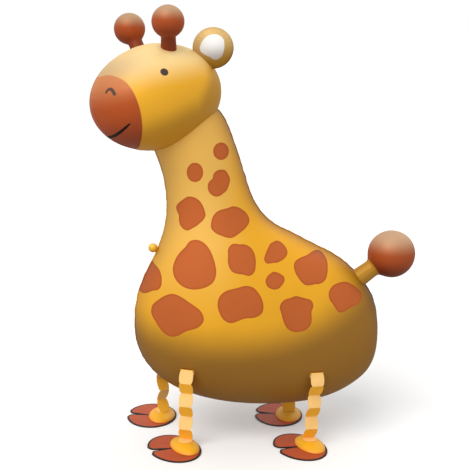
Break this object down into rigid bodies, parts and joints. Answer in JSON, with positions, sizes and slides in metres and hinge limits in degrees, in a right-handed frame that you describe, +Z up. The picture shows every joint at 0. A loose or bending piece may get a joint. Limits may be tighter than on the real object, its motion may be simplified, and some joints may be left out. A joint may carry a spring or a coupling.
{
  "type": "giraffe foil balloon",
  "caption": "Inflated foil giraffe that stands on pleated paper legs with weighted cloven card feet, with round horns, ears and a ball tail; a party, garden or nursery decoration.",
  "frame": {"origin": "middle of the plan of the bounding box, on the floor under the soles", "axes": "+Z up, -X the way the giraffe faces, -Y the giraffe's left, towards which it turns its head"},
  "size_m": [0.4926, 0.2292, 0.6352],
  "materials": {
    "gold_foil": "satin gold foil printed with chestnut giraffe patches and a brown belly",
    "head_foil": "satin gold foil printed with a chestnut muzzle, eyes, nostrils and a smile",
    "brown_foil": "satin chestnut foil, darker on the stems",
    "ear_foil": "satin gold foil printed with a pale inner ear",
    "tail_foil": "satin foil, chestnut ball on a gold stem",
    "valve_film": "soft yellow plastic film",
    "leg_paper": "matt paper, folded panels light and dark in turn",
    "foot_card": "printed card with a dark outline round the hooves",
    "heel_card": "satin yellow card pad"
  },
  "bodies": {
    "root": {"body": "gold_foil", "head": "head_foil", "horn_left": "brown_foil", "horn_right": "brown_foil", "ear_left": "ear_foil", "ear_right": "ear_foil", "tail": "tail_foil", "filling_valve": "valve_film", "leg_front_left": "leg_paper", "leg_front_right": "leg_paper", "leg_hind_left": "leg_paper", "leg_hind_right": "leg_paper", "foot_front_left": "foot_card", "foot_front_right": "foot_card", "foot_hind_left": "foot_card", "foot_hind_right": "foot_card", "heel_front_left": "heel_card", "heel_front_right": "heel_card", "heel_hind_left": "heel_card", "heel_hind_right": "heel_card"}
  },
  "joints": []
}
